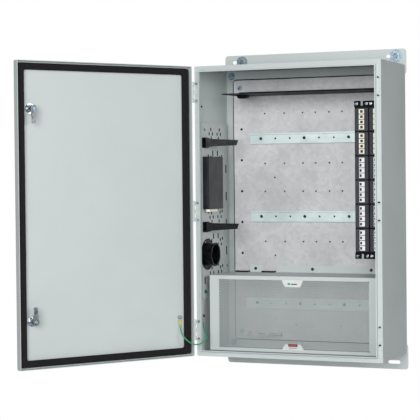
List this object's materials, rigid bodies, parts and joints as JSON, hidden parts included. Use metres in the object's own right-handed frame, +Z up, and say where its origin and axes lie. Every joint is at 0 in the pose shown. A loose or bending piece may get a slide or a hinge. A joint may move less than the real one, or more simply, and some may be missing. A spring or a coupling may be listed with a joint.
{
  "type": "subpanel enclosure",
  "caption": "Wall-mounted steel enclosure with a hinged gasketed door, quarter-turn latches, a galvanised subpanel, rails, rack panels, cable fittings and a perforated power guard.",
  "frame": {"origin": "centre of the four wall slots, on the wall plane behind the mounting feet", "axes": "+X to the right seen from the front, +Y into the wall, +Z up; the open front faces -Y"},
  "size_m": [0.9679, 0.7881, 1.015],
  "materials": {
    "cabinet_paint": "light grey powder coat, fine orange peel",
    "guard_paint": "light grey powder coat on perforated sheet",
    "gasket_foam": "black foamed-in-place rubber",
    "galvanised_sheet": "galvanised sheet with soft cloudy spangle",
    "zinc_plate": "bright bluish zinc plate",
    "black_paint": "black powder coat",
    "black_plastic": "moulded black nylon",
    "grey_plastic": "dark grey moulded lid and faceplates",
    "ivory_plastic": "ivory moulded ports",
    "white_plastic": "white moulded jacks",
    "label_plastic": "blank printed label plates",
    "wire_pvc": "green insulated earth wire with a yellow stripe",
    "black_screw": "black oxide screws",
    "tinned_copper": "tinned copper bar"
  },
  "bodies": {
    "enclosure": {"bracket_screws": "zinc_plate", "bracket_spacers": "zinc_plate", "cable_arm_lower": "black_plastic", "cable_arm_upper": "black_plastic", "cassette_adapters": "ivory_plastic", "cassette_base": "black_plastic", "cassette_lid": "grey_plastic", "copper_ports": "white_plastic", "din_rail_lower": "zinc_plate", "din_rail_middle": "zinc_plate", "din_rail_upper": "zinc_plate", "earth_bar": "tinned_copper", "earth_bar_screws": "zinc_plate", "earth_bar_standoffs": "black_plastic", "earth_wire": "wire_pvc", "enclosure_body": "cabinet_paint", "fibre_ports": "ivory_plastic", "foot_bolts": "zinc_plate", "foot_nuts": "zinc_plate", "frame_earth_nuts": "zinc_plate", "frame_ring_terminal": "zinc_plate", "frame_studs": "zinc_plate", "guard_labels": "label_plastic", "hinge_frame_leaves": "cabinet_paint", "hinge_frame_screws": "zinc_plate", "hinge_pins": "cabinet_paint", "mounting_foot_bottom": "cabinet_paint", "mounting_foot_top": "cabinet_paint", "panel_screws": "black_screw", "power_guard": "guard_paint", "rack_bracket_bottom": "black_paint", "rack_bracket_top": "black_paint", "rack_faceplates": "grey_plastic", "rack_frame_left": "black_paint", "rack_frame_right": "black_paint", "rack_screws": "zinc_plate", "shelf_cable_clip": "black_plastic", "side_bracket": "cabinet_paint", "slack_spool": "black_plastic", "subpanel": "galvanised_sheet", "subpanel_nuts": "zinc_plate", "subpanel_spacers": "zinc_plate", "subpanel_studs": "zinc_plate", "top_shelf": "black_paint"},
    "door": {"door_panel": "cabinet_paint", "door_gasket": "gasket_foam", "hinge_door_leaves": "cabinet_paint", "hinge_door_screws": "zinc_plate", "latch_barrel_upper": "zinc_plate", "latch_barrel_lower": "zinc_plate", "latch_nuts": "zinc_plate", "door_stud": "zinc_plate", "door_earth_nuts": "zinc_plate", "door_ring_terminal": "zinc_plate"},
    "upper_latch": {"latch_spindle_upper": "zinc_plate", "latch_cam_upper": "zinc_plate", "latch_cam_screw_upper": "zinc_plate"},
    "lower_latch": {"latch_spindle_lower": "zinc_plate", "latch_cam_lower": "zinc_plate", "latch_cam_screw_lower": "zinc_plate"}
  },
  "joints": [
    {"name": "door_swing", "type": "hinge", "parent": "enclosure", "child": "door", "pos_m": [-0.309, -0.2717, 0], "axis": [0, 0, 1], "range_deg": [-57, 123], "deforming": ["earth_wire"]},
    {"name": "upper_latch_turn", "type": "hinge", "parent": "door", "child": "upper_latch", "pos_m": [-0.63318, -0.73546, 0.315], "axis": [-0.8387, 0.5446, 0], "range_deg": [0, 90]},
    {"name": "lower_latch_turn", "type": "hinge", "parent": "door", "child": "lower_latch", "pos_m": [-0.63318, -0.73546, -0.315], "axis": [0.8387, -0.5446, 0], "range_deg": [0, 90]}
  ]
}
